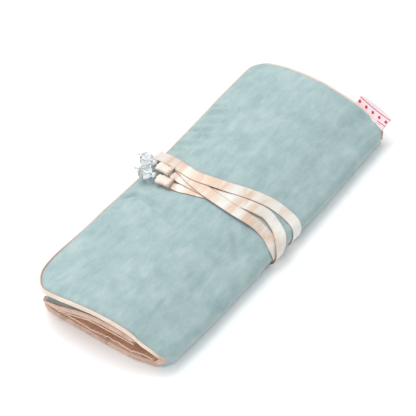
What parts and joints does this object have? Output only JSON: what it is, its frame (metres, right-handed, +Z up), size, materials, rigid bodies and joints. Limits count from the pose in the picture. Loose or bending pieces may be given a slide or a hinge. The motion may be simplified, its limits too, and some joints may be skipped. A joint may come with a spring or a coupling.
{
  "type": "brush roll case",
  "caption": "Padded velvet trifold case with satin brush pockets inside, wrapped twice by a satin ribbon with bead ends.",
  "frame": {"origin": "middle of the back panel's underside, on the table, midway between the two folds' axes", "axes": "+X along the roll towards the end with the label, +Y across it towards the flap's free edge, +Z up"},
  "size_m": [0.3007, 0.1416, 0.04],
  "materials": {
    "velvet": "pale aqua cotton velvet with a short nap",
    "satin": "peach brown satin",
    "piping": "cream to pink beige satin piping",
    "wadding": "white polyester wadding",
    "thread": "beige sewing thread",
    "ribbon": "peach satin ribbon",
    "label": "woven pinkish white label with two red stripes",
    "silver": "silver plated wire and spacers",
    "crystal": "clear cut glass"
  },
  "bodies": {
    "root": {"back_velvet": "velvet", "back_wadding": "wadding", "back_lining": "satin", "back_piping": "piping", "back_pocket": "satin", "back_pocket_seams": "thread", "right_fold_velvet": "velvet", "right_fold_wadding": "wadding", "right_fold_lining": "satin", "right_fold_piping": "piping", "left_fold_velvet": "velvet", "left_fold_wadding": "wadding", "left_fold_lining": "satin", "left_fold_piping": "piping", "left_fold_pocket": "satin"},
    "flap": {"flap_velvet": "velvet", "flap_wadding": "wadding", "flap_lining": "satin", "flap_piping": "piping"},
    "middle": {"middle_velvet": "velvet", "middle_wadding": "wadding", "middle_lining": "satin", "middle_piping": "piping", "middle_pocket": "satin", "middle_pocket_seams": "thread"},
    "label": {"woven_label": "label"},
    "tie": {"ribbon_first_half": "ribbon", "ribbon_second_half": "ribbon", "first_knot": "ribbon", "second_knot": "ribbon", "first_pin": "silver", "second_pin": "silver", "first_rondelle": "silver", "second_rondelle": "silver"},
    "faceted_bead": {"faceted_bead": "crystal"},
    "lobed_bead": {"lobed_bead": "crystal"}
  },
  "joints": [
    {"name": "flap_fold", "type": "hinge", "parent": "root", "child": "flap", "pos_m": [0, -0.052, 0.0088], "axis": [1, 0, 0], "range_deg": [0, 160], "deforming": ["right_fold_velvet", "right_fold_wadding", "right_fold_lining", "right_fold_piping", "ribbon_first_half", "ribbon_second_half", "first_knot", "second_knot", "first_pin", "second_pin", "first_rondelle", "second_rondelle", "faceted_bead", "lobed_bead"]},
    {"name": "middle_fold", "type": "hinge", "parent": "root", "child": "middle", "pos_m": [0, 0.052, 0.0088], "axis": [-1, 0, 0], "range_deg": [0, 72], "deforming": ["left_fold_velvet", "left_fold_wadding", "left_fold_lining", "left_fold_piping", "left_fold_pocket"]},
    {"name": "tie_off", "type": "slide", "parent": "root", "child": "tie", "axis": [0.9884, 0, -0.1516], "range_m": [0, 0.183]},
    {"name": "label_bend", "type": "hinge", "parent": "flap", "child": "label", "pos_m": [0.1472, -0.037, 0.02153], "axis": [0, 0.9299, 0.3679], "range_deg": [-30, 30]},
    {"name": "faceted_bead_spin", "type": "hinge", "parent": "tie", "child": "faceted_bead", "pos_m": [-0.01429, 0.0616, 0.03398], "axis": [-0.1392, 0.9903, 0], "continuous": true},
    {"name": "lobed_bead_spin", "type": "hinge", "parent": "tie", "child": "lobed_bead", "pos_m": [-0.0016, 0.0697, 0.03264], "axis": [0, 1, 0], "continuous": true}
  ],
  "couplings": [
    {"joint": "middle_fold", "follows": "flap_fold", "ratio": 0.45},
    {"joint": "tie_off", "follows": "flap_fold", "m_per_rad": 0.0652}
  ]
}
